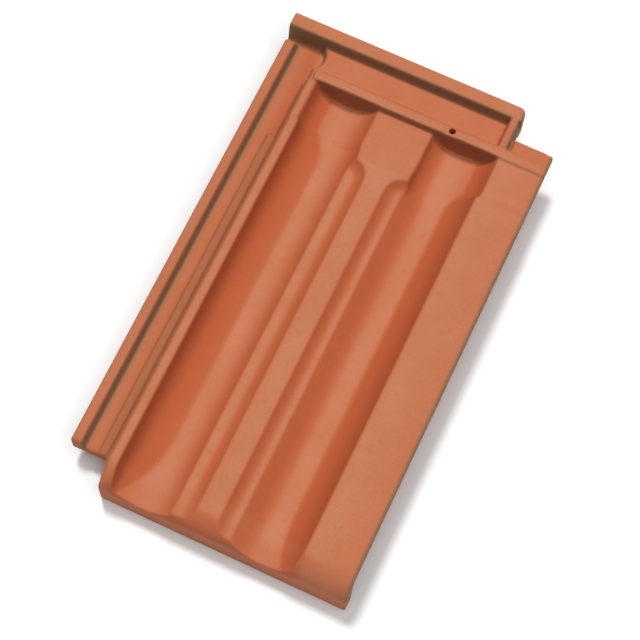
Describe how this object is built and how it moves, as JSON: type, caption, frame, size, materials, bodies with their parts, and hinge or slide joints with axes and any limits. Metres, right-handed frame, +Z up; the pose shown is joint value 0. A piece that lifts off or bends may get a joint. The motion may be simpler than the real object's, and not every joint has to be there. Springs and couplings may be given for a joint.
{
  "type": "interlocking clay roof tile",
  "caption": "Interlocking double-trough roof tile of fired clay with a side lock, a cover flap and a nail hole.",
  "frame": {"origin": "centre of the bounding box's bottom face, in the plane the tile rests on", "axes": "+Y along the tile towards its head, +X across towards the cover flap, +Z up out of the weather face"},
  "size_m": [0.245, 0.43, 0.049],
  "materials": {
    "fired_clay": "matte"
  },
  "bodies": {
    "root": {"roof_tile": "fired_clay"}
  },
  "joints": []
}
